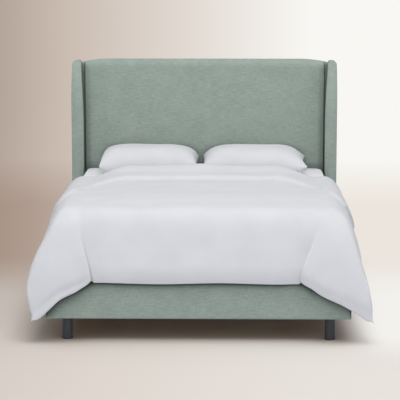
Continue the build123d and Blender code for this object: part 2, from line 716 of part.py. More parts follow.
def duvet_outline(flare, inset):
    """Plan of the right half of the duvet at one level.

    The side and the front stand out by their flare, and the corner stands out further as a
    fold that starts at a crease in the front and dies away along the side.
    """
    fold = min(flare, 1.0)
    side = inner + flare * DUVET_SIDE_FLARE - inset
    front = foot_inner - flare * (rail_thickness + DUVET_FRONT_FLARE) + inset
    crease = inner - DUVET_CREASE_TOP - fold * (DUVET_CREASE_HEM - DUVET_CREASE_TOP)
    crease_y = front + fold * DUVET_CREASE_DEPTH
    rounding = (1 - fold) * DUVET_CORNER / 2
    corner_x = inner + flare * DUVET_TIP_SIDE - inset - rounding
    corner_y = foot_inner - flare * (rail_thickness + DUVET_TIP_REACH) + inset + rounding
    side_end = corner_y + DUVET_CORNER + fold * DUVET_SIDE_FOLD
    bulge = DUVET_BULGE
    edges = [
        Line((0, front), (crease, crease_y)),
        ThreePointArc(
            (crease, crease_y),
            ((crease + corner_x) / 2, (crease_y + corner_y) / 2 - bulge),
            (corner_x, corner_y),
        ),
        ThreePointArc(
            (corner_x, corner_y),
            ((side + corner_x) / 2 + bulge, (side_end + corner_y) / 2),
            (side, side_end),
        ),
        Line((side, side_end), (side, duvet_head)),
        Line((side, duvet_head), (0, duvet_head)),
        Line((0, duvet_head), (0, front)),
    ]
    return make_face(Wire(edges).edges())


def duvet_envelope(outset):
    """Everything under the right half of the duvet's upper surface, down to its lowest tip."""
    top = duvet_top + outset
    sections = [
        Pos(0, 0, top - fall * (top - DUVET_TIP)) * duvet_outline(flare, edge * DUVET_EDGE - outset)
        for fall, flare, edge in DUVET_LEVEL_SHARES
    ]
    return loft(sections, ruled=True)


def duvet_hollow():
    """The space under the right half of the duvet, which the mattress and the rails fill."""
    sections = [Pos(0, 0, bedding_floor) * duvet_outline(0, SIDE_GAP - SHEET - 2 * SOFT_GAP)]
    for fall, flare, _ in DUVET_LEVEL_SHARES:
        if fall > DUVET_HOLLOW_SHARE:
            fill = DUVET_FILL + fall * (DUVET_HEM_FILL - DUVET_FILL)
            z = duvet_top - fall * (duvet_top - DUVET_TIP + OVERRUN)
            sections.append(Pos(0, 0, z) * duvet_outline(flare, fill))
    return loft(sections, ruled=True)


def under_hem():
    """What lies below the hem, which falls from the crease and from the side to the tip."""
    tip_x = inner + DUVET_TIP_SIDE
    tip_y = foot - DUVET_TIP_REACH
    low = DUVET_TIP - OVERRUN
    across = Polyline(
        (0, DUVET_FRONT_HEM), (inner - DUVET_CREASE_HEM, DUVET_FRONT_HEM),
        (tip_x, DUVET_TIP), (tip_x, low), (0, low),
        close=True,
    )
    along = Polyline(
        (tip_y, DUVET_TIP), (foot_inner + DUVET_SIDE_FOLD, DUVET_HEM), (duvet_head + OVERRUN, DUVET_HEM),
        (duvet_head + OVERRUN, low), (tip_y, low),
        close=True,
    )
    front = front_extrude(make_face(across.edges()), tip_y - OVERRUN, foot_inner)
    side = side_extrude(make_face(along.edges()), rail_outer, inner + 2 * DUVET_SIDE_FLARE)
    return front + side


def make_duvet():
    """Duvet over the mattress: crowned top, flared sides, a fold at each front corner.

    Its head end is folded back on itself, which makes a thicker band across the bed.
    """
    band = block(
        (0, inner + 2 * DUVET_SIDE_FLARE),
        (duvet_head - FLAP_LENGTH, duvet_head),
        (FLAP_HEM, duvet_top + 2 * FLAP_FILL),
    )
    half = duvet_envelope(0) - under_hem() + (duvet_envelope(FLAP_FILL) & band)
    half -= duvet_hollow()
    return half + mirrored(half)


def save(name, shapes):
    """Write one node, which may hold several separate solids."""
    solids = [solid for shape in shapes for solid in shape.solids()]
    export_step(solids[0] if len(solids) == 1 else Compound(solids), os.path.join("parts", name + ".step"))


def save_pair(name, shape):
    """Write the right-hand piece and its mirror image."""
    save(name.format("right"), [shape])
    save(name.format("left"), [mirrored(shape)])


def both_sides(shapes):
    """The right-hand pieces followed by their mirror images."""
    return shapes + [mirrored(shape) for shape in shapes]


os.makedirs("parts", exist_ok=True)

side_board, side_foam, side_cover = make_side_rail()
save_pair("side_rail_{}_board", side_board)
save_pair("side_rail_{}_foam", side_foam)
save_pair("side_rail_{}_cover", side_cover)

foot_board, foot_foam, foot_cover = make_foot_rail()
save("foot_rail_board", [foot_board])
save("foot_rail_foam", [foot_foam])
save("foot_rail_cover", [foot_cover])

for name, piece in make_headboard().items():
    save(name, [piece])

wing_board, wing_foam, wing_cover = make_wing()
save_pair("wing_{}_board", wing_board)
save_pair("wing_{}_foam", wing_foam)
save_pair("wing_{}_cover", wing_cover)

corner_block, leg_plate, leg_bolt = make_leg_fixing()
save_pair("front_leg_{}", make_leg())
save("corner_blocks", both_sides([corner_block]))
save("leg_plates", both_sides([leg_plate]))
save("leg_hanger_bolts", both_sides([leg_bolt]))
save("floor_glides", make_glides())

save("foot_corner_brackets", both_sides([make_foot_bracket()]))
save("head_brackets", both_sides([make_head_bracket()]))
foot_places = foot_side_bolts + foot_end_bolts
head_places = head_side_bolts + head_end_bolts
save("bracket_bolts", both_sides(placed(bolt(), foot_places + head_places)))
inserts = placed(insert(FOOT_BRACKET), foot_places)
inserts += placed(insert(HEAD_BRACKET), head_side_bolts)
inserts += placed(insert(HEAD_BRACKET + HEAD_PANEL), head_end_bolts)
save("threaded_inserts", both_sides(inserts))

save_pair("slat_ledge_{}", make_ledge())
for number, y in enumerate(slat_places, start=1):
    save("slat_{}".format(number), [make_slat(y)])
save("wing_screws", both_sides(placed(screw(WING_SCREW_LENGTH), wing_screws)))
slat_and_ledge_screws = placed(screw(LEDGE_SCREW_LENGTH), ledge_screws)
slat_and_ledge_screws += placed(screw(SLAT_SCREW_LENGTH), slat_screws)
save("slat_and_ledge_screws", both_sides(slat_and_ledge_screws))
save("leg_plate_screws", both_sides(placed(screw(PLATE_SCREW_LENGTH), plate_screws)))

nuts = []
for number, y in enumerate(support_places, start=1):
    post, nut, stem, pad = make_support(y)
    save("support_post_{}".format(number), [post])
    save("levelling_stem_{}".format(number), [stem])
    save("levelling_pad_{}".format(number), [pad])
    nuts.append(nut)
save("tee_nuts", nuts)

save("box_spring", [make_box_spring()])
save("mattress", [make_mattress()])
save("fitted_sheet", [make_sheet()])
save_pair("pillow_{}", make_pillow())
save("duvet", [make_duvet()])
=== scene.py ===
"""Looks of the upholstered wing bed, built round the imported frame."""

from math import radians

import bmesh
import bpy
import numpy as np
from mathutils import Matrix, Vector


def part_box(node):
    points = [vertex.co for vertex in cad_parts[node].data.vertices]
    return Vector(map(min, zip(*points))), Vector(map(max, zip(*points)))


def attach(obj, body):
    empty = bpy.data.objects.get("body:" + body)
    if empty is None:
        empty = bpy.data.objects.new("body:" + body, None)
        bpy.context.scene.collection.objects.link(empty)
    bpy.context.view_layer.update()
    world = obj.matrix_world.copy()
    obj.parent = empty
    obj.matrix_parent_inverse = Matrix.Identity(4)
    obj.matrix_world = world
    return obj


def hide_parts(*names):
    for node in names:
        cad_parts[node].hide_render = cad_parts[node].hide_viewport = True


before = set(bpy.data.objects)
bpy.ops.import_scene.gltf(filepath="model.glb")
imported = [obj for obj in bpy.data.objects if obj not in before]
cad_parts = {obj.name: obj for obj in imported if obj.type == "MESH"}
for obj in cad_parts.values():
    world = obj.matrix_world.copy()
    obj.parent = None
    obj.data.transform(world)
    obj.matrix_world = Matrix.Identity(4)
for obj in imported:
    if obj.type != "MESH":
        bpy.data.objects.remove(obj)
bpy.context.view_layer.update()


# Camera and room. The camera stands 8.6 m in front of the foot of the bed and looks slightly
# down. The room is a plain pale studio sweep, with painted shade that darkens it to the left, a
# large soft lamp over the bed, a weaker one low in front of it and a small one at the right.

def linear(code):
    """Linear colour of an sRGB hex code."""
    value = np.array([int(code[i:i + 2], 16) for i in (1, 3, 5)]) / 255
    value = np.where(value <= 0.04045, value / 12.92, ((value + 0.055) / 1.055) ** 2.4)
    return (*value, 1)


def add(tree, kind, inputs=None, **settings):
    """Add a node with its settings, and give its inputs a value or a link."""
    node = tree.nodes.new(kind)
    for name, value in settings.items():
        setattr(node, name, value)
    for name, value in (inputs or {}).items():
        if isinstance(value, bpy.types.NodeSocket):
            tree.links.new(value, node.inputs[name])
        else:
            node.inputs[name].default_value = value
    return node


def blend(tree, factor, first, second):
    """Colour between two: the first at factor 0, the second at 1.

    A mix node has its sockets for values at 2 and 3, and for colours at 6 and 7.
    """
    colours = {"Factor": factor, 6: first, 7: second}
    return add(tree, "ShaderNodeMix", colours, data_type="RGBA").outputs[2]


def between(tree, factor, first, second):
    """Value between two, in the same way."""
    return add(tree, "ShaderNodeMix", {"Factor": factor, 2: first, 3: second}).outputs[0]


def span(tree, value, start, stop, low=0.0, high=1.0, soft=False):
    """A value mapped from start and stop to low and high, and kept between them."""
    inputs = {"Value": value, "From Min": start, "From Max": stop, "To Min": low, "To Max": high}
    kind = "SMOOTHSTEP" if soft else "LINEAR"
    return add(tree, "ShaderNodeMapRange", inputs, interpolation_type=kind).outputs[0]


def maths(tree, operation, *values):
    """Result of a sum, product or other operation on values or links."""
    return add(tree, "ShaderNodeMath", dict(enumerate(values)), operation=operation).outputs[0]


def noise(tree, place, scale, detail, roughness=0.5, distortion=0.0):
    """Soft noise between 0 and 1, with about one blotch to each 1 / scale."""
    inputs = {"Vector": place, "Scale": scale, "Detail": detail, "Roughness": roughness,
              "Distortion": distortion}
    return add(tree, "ShaderNodeTexNoise", inputs).outputs["Fac"]


def openness(tree, reach):
    """How open a point lies to its surroundings within a reach in metres, from 0 to 1."""
    return add(tree, "ShaderNodeAmbientOcclusion", {"Distance": reach}).outputs["AO"]


def relief(tree, shader, height, strength, depth):
    """Give a surface a fine relief from a height, which stands for a depth in metres."""
    bump = add(tree, "ShaderNodeBump", {"Height": height, "Strength": strength, "Distance": depth})
    tree.links.new(bump.outputs["Normal"], shader.inputs["Normal"])


def new_material(name, **surface):
    """A material whose shader's own sockets are set by name, as in sheen_weight=."""
    material = bpy.data.materials.new(name)
    material.use_nodes = True
    shader = material.node_tree.nodes["Principled BSDF"]
    for key, value in surface.items():
        shader.inputs[key.replace("_", " ").title().replace("Ior", "IOR")].default_value = value
    return material, material.node_tree, shader


def new_object(name, data):
    """An object in the scene for a mesh, lamp or camera."""
    made = bpy.data.objects.new(name, data)
    bpy.context.scene.collection.objects.link(made)
    return made


def new_mesh(name, points, faces, material, uv=None, weld=0.0):
    """Mesh object from points and quads, smooth, with doubles merged and faces turned outwards."""
    mesh = bpy.data.meshes.new(name)
    mesh.from_pydata(np.asarray(points).tolist(), [], np.asarray(faces).tolist())
    if uv is not None:
        layer = mesh.uv_layers.new(name="UVMap")
        corner = np.empty(len(mesh.loops), np.int32)
        mesh.loops.foreach_get("vertex_index", corner)
        layer.data.foreach_set("uv", np.asarray(uv)[corner].astype(np.float32).ravel())
    shape = bmesh.new()
    shape.from_mesh(mesh)
    if weld:
        bmesh.ops.remove_doubles(shape, verts=shape.verts, dist=weld)
        bmesh.ops.dissolve_degenerate(shape, edges=shape.edges, dist=weld / 2)
    bmesh.ops.recalc_face_normals(shape, faces=shape.faces)
    if shape.calc_volume(signed=True) < 0:
        bmesh.ops.reverse_faces(shape, faces=shape.faces)
    shape.to_mesh(mesh)
    shape.free()
    mesh.polygons.foreach_set("use_smooth", np.ones(len(mesh.polygons), bool))
    mesh.materials.append(material)
    return new_object(name, mesh)


def grid_quads(columns, rows):
    """Quads of a grid whose points are numbered along each column."""
    a = np.arange(columns * rows).reshape(columns, rows)
    return np.stack([a[:-1, :-1], a[1:, :-1], a[1:, 1:], a[:-1, 1:]], -1).reshape(-1, 4)


# Place, turn and focal length are fitted to corners of the frame, the mattress and the headboard
camera = new_object("camera", bpy.data.cameras.new("camera"))
camera.location = (0.1642, -9.6018, 2.015)
camera.rotation_euler = (radians(90 - 8.342), 0, radians(1.038))
camera.data.sensor_width = 36
camera.data.lens = 148.2
bpy.context.scene.camera = camera
bpy.context.scene.view_settings.view_transform = "Standard"


def sweep_mesh():
    """Floor that turns up into a wall in a quarter circle: y and z along a path, x straight."""
    front, bend, radius, top, half = -16.0, 14.0, 2.0, 16.0, 18.0
    turn = np.linspace(0, np.pi / 2, 24)
    y = np.concatenate([np.linspace(front, bend, 30), bend + radius * np.sin(turn), [bend + radius]])
    z = np.concatenate([np.zeros(30), radius * (1 - np.cos(turn)), [top]])
    x = np.linspace(-half, half, 20)
    grid = np.stack(np.broadcast_arrays(x[:, None], y[None, :], z[None, :]), -1)
    return grid.reshape(-1, 3), grid_quads(len(x), len(y))


def ramp(tree, value, *stops):
    """Colour output of a ramp over a value, with its stops given as position and sRGB code."""
    tone = add(tree, "ShaderNodeValToRGB", {"Fac": value})
    while len(tone.color_ramp.elements) < len(stops):
        tone.color_ramp.elements.new(0.5)
    for element, (position, code) in zip(tone.color_ramp.elements, stops):
        element.position = position
        element.color = linear(code)
    return tone.outputs["Color"]


# Matt studio floor and wall, no gloss, whose colour is painted light and shade: painted shade,
# warm grey-brown, at the left, and painted light, nearly white, at the right. Camera rays see the
# wall, the far floor and the floor at the right at full strength, and the rest of the floor keeps
# the bed's shadow. The light it throws back is a neutral pale grey.
studio, tree, shader = new_material("studio_sweep_with_painted_light_and_shade", roughness=0.95, specular_ior_level=0.0)
place = add(tree, "ShaderNodeTexCoord").outputs["Object"]
axes = add(tree, "ShaderNodeSeparateXYZ", {0: place}).outputs
across, along = axes["X"], axes["Y"]
# The far tones fan out from the camera, which stands 9.6 m in front of the bed's middle
spread = maths(tree, "DIVIDE", across, maths(tree, "ADD", along, 9.6))
fan = span(tree, spread, -0.14, 0.105)
# Painted shade at the left and painted light at the right, in the far floor, the near floor and the wall
far = ramp(tree, fan, (0.0, "#A58F83"), (0.12, "#AF9B8F"), (0.5, "#D5CBC2"), (0.87, "#ECE5DD"))
near = ramp(tree, span(tree, across, -2.2, 2.4),
            (0.0, "#C0B2A6"), (0.25, "#D8CEC5"), (0.6, "#E6E0D9"), (0.9, "#EDE8E2"))
wall = ramp(tree, fan, (0.0, "#B0A095"), (0.165, "#C7B9AE"), (0.5, "#E2DAD3"), (0.8, "#F8F7F3"))
lit_wall = blend(tree, span(tree, along, 3.9, 7.0), far, wall)
# Painted shadow: the floor's colour turns a deep brown where the bed keeps the light off it, reaching
# further at the left
left_reach = span(tree, across, -1.0, -0.6, 0.8, 0.4)
uncovered = span(tree, openness(tree, left_reach), 0.1, 0.75)
painted = blend(tree, uncovered, linear("#98826F"), near)
seen = add(tree, "ShaderNodeLightPath").outputs["Is Camera Ray"]
tree.links.new(blend(tree, seen, linear("#DFDFE2"), painted), shader.inputs["Base Color"])
# What is at full strength: all that lies behind the bed, and a strip of painted light beside it at the
# right, which covers most of the bed's shadow there
away = span(tree, along, 0.0, 1.6, soft=True)
beside = span(tree, across, 0.74, 1.0, soft=True)
outside_strip = maths(tree, "MAXIMUM", away, maths(tree, "SUBTRACT", 1.0, beside))
bright = blend(tree, outside_strip, linear("#F6F4F0"), lit_wall)
glow = add(tree, "ShaderNodeEmission", {"Color": bright, "Strength": 1.0})
strip = maths(tree, "MULTIPLY", beside, span(tree, across, 1.2, 2.6, 1.0, 0.0, soft=True))
painted_light_pool = maths(tree, "MULTIPLY", strip, span(tree, along, -1.6, -0.85, 0.0, 0.9, soft=True))
share = maths(tree, "MULTIPLY", maths(tree, "MAXIMUM", away, painted_light_pool), seen)
mixed = add(tree, "ShaderNodeMixShader", {0: share, 1: shader.outputs[0], 2: glow.outputs[0]})
tree.links.new(mixed.outputs[0], tree.nodes["Material Output"].inputs["Surface"])
floor = new_mesh("studio_sweep", *sweep_mesh(), studio)
floor.data.flip_normals()

# The sky lights the bed with a neutral grey, and the camera sees it as warm as the wall
world = bpy.data.worlds.new("studio")
bpy.context.scene.world = world
world.use_nodes = True
tree = world.node_tree
seen = add(tree, "ShaderNodeLightPath").outputs["Is Camera Ray"]
sky = tree.nodes["Background"].inputs
tree.links.new(blend(tree, seen, linear("#AAAAAC"), linear("#E6DED7")), sky["Color"])
sky["Strength"].default_value = 1.3

# Where each lamp stands and what it is aimed at, its width in metres and its power in watts
for name, where, aim, size, power in (
    ("key_lamp", (0.0, -2.2, 6.6), (0.0, 0.0, 0.4), 3.8, 215),
    ("fill_lamp", (0.0, -7.5, 1.5), (0.0, 0.0, 0.6), 4.0, 84),
    ("side_lamp", (4.6, -2.2, 1.0), (0.8, -0.8, 0.1), 2.0, 12),
):
    lamp = new_object(name, bpy.data.lights.new(name, "AREA"))
    lamp.data.size = size
    lamp.data.energy = power
    lamp.location = where
    reach = np.array(aim) - np.array(where)
    flat = np.hypot(reach[0], reach[1])
    lamp.rotation_euler = (np.arctan2(flat, -reach[2]), 0, np.arctan2(reach[1], reach[0]) - np.pi / 2)


# Upholstery of the headboard: sage linen-look cloth pulled over foam, with a large soft round
# along the top. The cover is one closed skin whose face swells a few millimetres over its foam.

def round_turn(centre, radius, start, stop, steps):
    """Points of an arc in a plane, from one angle in degrees to another."""
    angle = np.radians(np.linspace(start, stop, steps))
    return np.stack([centre[0] + radius * np.cos(angle), centre[1] + radius * np.sin(angle)], -1)


def evenly(points, count, closed=True):
    """The same path with its points spread evenly along its length."""
    path = np.vstack([points, points[:1]]) if closed else np.asarray(points, float)
    length = np.concatenate([[0], np.cumsum(np.linalg.norm(np.diff(path, axis=0), axis=1))])
    at = np.linspace(0, length[-1], count, endpoint=not closed)
    return np.stack([np.interp(at, length, path[:, k]) for k in range(path.shape[1])], -1)


def closed_skin(loops):
    """Quads that join a stack of closed loops, given as an array of loop, point, xyz."""
    rows, count = loops.shape[:2]
    a = np.arange(rows * count).reshape(rows, count)
    b = np.roll(a, -1, axis=1)
    return np.stack([a[:-1], a[1:], b[1:], b[:-1]], -1).reshape(-1, 4)


def closed_ends(loops):
    """The loops with a point in the middle of each end, where the skin closes."""
    ends = [loops[:1].copy(), loops[-1:].copy()]
    for end in ends:
        end[...] = end.mean(1, keepdims=True)
    return np.concatenate([ends[0], loops, ends[1]])


def smooth(t):
    """Smooth step from 0 to 1."""
    t = np.clip(t, 0, 1)
    return t * t * (3 - 2 * t)


def quarter(count):
    """How far a quarter circle of radius 1 has fallen, at even angles from its level start."""
    return 1 - np.cos(np.linspace(0, np.pi / 2, count))


def arc_radius(run, fall):
    """Radius of an arc that starts level and falls this much over a run."""
    return (run ** 2 + fall ** 2) / (2 * fall)


def fallen(radius, past):
    """How far an arc that starts level has fallen at a distance past its start."""
    return radius - np.sqrt(np.maximum(radius ** 2 - past ** 2, 0))


def closed_mesh(name, loops, material, uv=None, weld=0.0002):
    """Mesh object for a stack of closed loops, with a texture place for each of its points."""
    if uv is not None:
        uv = np.stack(uv, -1).reshape(-1, 2)
    return new_mesh(name, loops.reshape(-1, 3), closed_skin(loops), material, uv, weld)


# Linen-look polyester cloth, plain woven from slubby heathered yarn. Its yarns are about 0.9 mm
# apart, which is too fine to show here, so the slubs are drawn 4 to 8 mm wide and the cloth
# shows them as faint streaks along both threads.
def linen(name, reach, closed, deepest):
    """The cloth, with painted shade where things within its reach, in metres, close in on it.

    In the open it keeps its own tone. At the openness closed, the share deepest of it is left.
    """
    material, tree, shader = new_material(
        name, roughness=0.92, sheen_weight=0.12, sheen_roughness=0.5, specular_ior_level=0.2)
    cloth_uv = add(tree, "ShaderNodeUVMap", uv_map="UVMap").outputs["UV"]
    streaks = []
    for stretch in ((1 / 0.045, 1 / 0.0065, 1), (1 / 0.0065, 1 / 0.035, 1)):
        scaled = add(tree, "ShaderNodeMapping", {"Vector": cloth_uv, "Scale": stretch}).outputs[0]
        streaks.append(noise(tree, scaled, 1.0, 3.0, roughness=0.6))
    crossed = between(tree, 0.38, *streaks)
    patchy = between(tree, 0.22, crossed, noise(tree, cloth_uv, 9.0, 2.0))
    tone = ramp(tree, patchy, (0.34, "#8A988E"), (0.66, "#A6B3AA"))
    # Painted shade: the cloth's colour deepens towards a dark green-grey in narrow gaps and under things
    # close by
    left = span(tree, openness(tree, reach), closed, 0.95, deepest)
    tree.links.new(blend(tree, left, linear("#2C352F"), tone), shader.inputs["Base Color"])
    # The wave turns 20 radians to a unit, so this scale gives a ridge for each 4.3 mm
    ridges = {"Vector": cloth_uv, "Scale": 1 / 0.0022 / 6.283, "Distortion": 1.2, "Detail": 1.0}
    weave = [
        add(tree, "ShaderNodeTexWave", ridges, wave_type="BANDS", bands_direction=axis).outputs["Fac"]
        for axis in "XY"
    ]
    height = maths(tree, "ADD", maths(tree, "ADD", *weave), crossed)
    relief(tree, shader, height, 0.25, 0.0006)
    return material


# Both copies carry painted shade; on the rails it reaches further and goes darker, under the duvet's hem
head_linen = linen("sage_linen_weave", 0.062, 0.42, 0.46)
rail_linen = linen("sage_linen_weave_on_rails", 0.12, 0.66, 0.0)


def head_top(x):
    """Height of the headboard's top: flat, then falling in a soft arc to each end."""
    top, drop, start, width = 1.372, 0.022, 0.61, 0.192
    return top - fallen(arc_radius(width, drop), np.clip(np.abs(x) - start, 0, width))


def headboard_loops():
    """Cross sections in y and z, carried along x: face, round top, back and a flat bottom."""
    low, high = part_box("headboard_cover")
    half, front, rear = high.x, low.y, high.y
    face_round, back_round = 0.045, 0.012
    # The cloth eases back towards each wing, and is drawn in to a groove beside it
    ease_at, ease_wide, ease_deep = 0.730, 0.040, 0.005
    tuck_at, tuck_wide, tuck_deep = 0.771, 0.010, 0.018
    swell_deep, swell_from, swell_tall = 0.0025, 0.24, 1.1
    end = np.concatenate([
        np.linspace(0.64, tuck_at - 0.004, 16), np.linspace(tuck_at, tuck_at + tuck_wide, 9),
        np.linspace(0.783, half, 6),
    ])
    x = np.concatenate([-end[::-1], np.linspace(-0.62, 0.62, 60), end])
    loops = []
    for place in x:
        top = head_top(place)
        section = np.vstack([
            [[front, low.z]], [[front, 0.6]], [[front, 1.2]],
            round_turn((front + face_round, top - face_round), face_round, 180, 90, 14),
            round_turn((rear - back_round, top - back_round), back_round, 90, 0, 6),
            [[rear, 1.2]], [[rear, 0.6]], [[rear, low.z]],
        ])
        loops.append(evenly(section, 190))
    loops = np.array(loops)
    # Share of a move that a point takes: all of it at the face, and none at the back
    near = np.clip((rear - 0.03 - loops[..., 0]) / 0.045, 0, 1)
    tall = np.clip((loops[..., 1] - swell_from) / swell_tall, 0, 1)
    swell = swell_deep * (1 - np.abs(x / half) ** 6)[:, None]
    loops[..., 0] -= swell * near * 4 * tall * (1 - tall) ** 0.8
    ease = ease_deep * smooth((np.abs(x) - ease_at) / ease_wide)
    tuck = tuck_deep * smooth((np.abs(x) - tuck_at) / tuck_wide)
    loops[..., 0] += (ease + tuck)[:, None] * near
    places = np.broadcast_to(x[:, None, None], loops.shape[:2] + (1,))
    return closed_ends(np.concatenate([places, loops], -1))


loops = headboard_loops()
headboard = closed_mesh("headboard_upholstery", loops, head_linen, (loops[..., 0], loops[..., 2]))
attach(headboard, "bed_frame")
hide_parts("headboard_cover", "headboard_foam")


# Wings: a plywood board padded on both sides and over its front edge. The front edge is a flat
# band sewn between the inner and outer panels, and it sweeps back in an arc towards the top.

def wing_loops(side):
    """Plan sections carried up z: each has its own front edge, inner face and corner rounds."""
    low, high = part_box("wing_right_cover")
    # The inner face and the top lie 4 to 5 mm inside the CAD cover's
    inner, outer, rear = low.x + 0.0045, high.x, high.y
    bottom, top = low.z, high.z - 0.004
    # The inner face runs on behind the headboard's face, and then steps out to the board's end
    face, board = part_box("headboard_cover")[0].y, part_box("headboard_cover")[1].x
    face_end, step_at = face + 0.0262, face + 0.0265
    # The front sweeps back, and the inner face leans outwards, over these heights below the top
    sweep, taper = 0.300, 0.409
    sweep_radius, taper_radius = arc_radius(sweep, 0.0965), arc_radius(taper, 0.0225)
    # Rounds over the top, at its front end, at the bottom, at the front corners and at the rear
    edge, shoulder, foot, corner, rear_round = 0.020, 0.040, 0.006, 0.009, 0.012
    # Distances from the corner's end to a seam's near side, its middle and its far side
    seam, groove_deep = np.array([0.0025, 0.004, 0.0055]), 0.0008
    # How far the front band and the outer face swell, and how far the inner face is drawn in
    band_swell, side_swell, hollow_deep = 0.0025, 0.004, 0.010
    count = 18
    z = np.concatenate([
        bottom + foot * quarter(4), np.linspace(bottom + 0.02, top - sweep, 44),
        np.linspace(top - sweep + 0.008, top - edge - 0.002, 46), top - edge * quarter(10)[::-1],
    ])
    loops = []
    for height in z:
        down = top - height
        front = low.y + fallen(sweep_radius, np.clip(sweep - down, 0, sweep))
        front += fallen(shoulder, np.clip(shoulder - down, 0, shoulder))
        near = inner + fallen(taper_radius, np.clip(taper - down, 0, taper))
        shrink = fallen(edge, np.clip(edge - down, 0, edge))
        shrink += fallen(foot, np.clip(bottom + foot - height, 0, foot))
        a, b = near + shrink, outer - shrink
        r = max(corner - shrink * 0.45, 0.001)
        # The seams draw together where the wing is thin
        k = np.clip((b - a - 2 * corner) / 0.04, 0.2, 1)
        groove = groove_deep if shrink < 0.004 else 0.0
        sewn = [front, front + groove, front]
        middle, full = (a + b) / 2, smooth(down / 0.1)
        band = front - band_swell * full
        share = np.linspace(0, 1, count)
        outside = np.linspace(front + r + 0.004, rear - 0.004, count)
        inside = np.linspace(face_end, front + r + 0.004, count)
        hollow = hollow_deep * smooth((inside - front - r - 0.004) / 0.035) * smooth(down / 0.12)
        step = board + fallen(rear_round, np.clip(rear_round - down, 0, rear_round))
        section = np.vstack([
            round_turn((a + r, front + r), r, 180, 270, 9), np.c_[a + r + seam * k, sewn],
            [[middle - 0.008 * k, band], [middle + 0.008 * k, band]],
            np.c_[b - r - seam[::-1] * k, sewn], round_turn((b - r, front + r), r, 270, 360, 9),
            np.c_[b + side_swell * np.sin(np.pi * share) * full, outside],
            [[b, rear]], [[step, rear]], [[step, step_at]], np.c_[a + hollow, inside],
        ])
        loops.append(np.c_[side * section[:, 0], section[:, 1], np.full(len(section), height)])
    return closed_ends(np.array(loops))


for side, word in ((-1, "left"), (1, "right")):
    loops = wing_loops(side)
    uv = loops[..., 0] + loops[..., 1], loops[..., 2]
    wing = closed_mesh("wing_upholstery_" + word, loops, head_linen, uv)
    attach(wing, "bed_frame")
    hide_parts("wing_{}_cover".format(word), "wing_{}_foam".format(word))


# Rails: boards padded on the outside and the top, wrapped in the same cloth. The foot rail runs
# across the ends of the side rails, with its cloth folded round both front corners.

def rail_section(thick, bottom, top, edge=0.012, swell=0.003):
    """Closed section of a rail: distance out from its inner face, and height."""
    clear, bevel = 0.0003, 0.003  # off the board, and across its inner corners
    run = np.linspace(0, 1, 24)[1:-1]
    flat = np.linspace(2 * bevel, thick - edge - 0.002, 6)
    outer = np.c_[thick + swell * np.sin(np.pi * run), bottom + edge + run * (top - bottom - 2 * edge)]
    return np.vstack([
        [[clear, top - bevel], [clear, bottom + bevel], [bevel, bottom]],
        np.c_[flat, np.full(6, bottom)], round_turn((thick - edge, bottom + edge), edge, -90, 0, 9),
        outer, round_turn((thick - edge, top - edge), edge, 0, 90, 9),
        np.c_[flat[::-1], np.full(6, top)], [[bevel, top]],
    ])


for side, word in ((-1, "left"), (1, "right")):
    low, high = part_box("side_rail_right_cover")
    section = rail_section(high.x - low.x, low.z, high.z)
    y = np.linspace(low.y + 0.0003, high.y, 90)
    loops = closed_ends(np.stack(np.broadcast_arrays(
        side * (low.x + section[None, :, 0]), y[:, None], section[None, :, 1]), -1))
    uv = loops[..., 1], loops[..., 2] + side * loops[..., 0]
    rail = closed_mesh("side_rail_upholstery_" + word, loops, rail_linen, uv)
    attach(rail, "bed_frame")
    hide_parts("side_rail_{}_cover".format(word), "side_rail_{}_foam".format(word))


def foot_rail_loops():
    """Rail sections carried along x, with the front corners rounded in plan."""
    low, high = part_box("foot_rail_cover")
    corner = 0.012
    turn = corner * quarter(8)
    x = np.concatenate([low.x + turn, np.linspace(low.x + 0.02, high.x - 0.02, 120), (high.x - turn)[::-1]])
    thick = high.y - low.y - fallen(corner, np.clip(corner - (high.x - np.abs(x)), 0, corner))
    loops = []
    for place, depth in zip(x, thick):
        section = rail_section(depth, low.z, high.z)
        loops.append(np.c_[np.full(len(section), place), high.y - section[:, 0], section[:, 1]])
    return closed_ends(np.array(loops))


loops = foot_rail_loops()
uv = loops[..., 0], loops[..., 2] - loops[..., 1]
foot_rail = closed_mesh("foot_rail_upholstery", loops, rail_linen, uv)
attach(foot_rail, "bed_frame")
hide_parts("foot_rail_cover", "foot_rail_foam")


# Timber inside: softwood rails, stiles, slats, ledges and posts, and plywood panels. They are
# planed or sanded and left bare, so the grain shows as soft bands along each length.

def wood(name, pale, dark, grain, roughness):
    """Bare wood: stretched noise for the grain, with its long axis given by the scale."""
    material, tree, shader = new_material(name, roughness=roughness)
    place = add(tree, "ShaderNodeTexCoord").outputs["Object"]
    scaled = add(tree, "ShaderNodeMapping", {"Vector": place, "Scale": grain}).outputs[0]
    bands = noise(tree, scaled, 1.0, 5.0, distortion=0.6)
    tree.links.new(ramp(tree, bands, (0.35, dark), (0.68, pale)), shader.inputs["Base Color"])
    relief(tree, shader, bands, 0.2, 0.0005)
    return material


def give(material, *nodes):
    """Show these CAD nodes in one material."""
    for name in nodes:
        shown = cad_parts[name]
        shown.data.materials.clear()
        shown.data.materials.append(material)


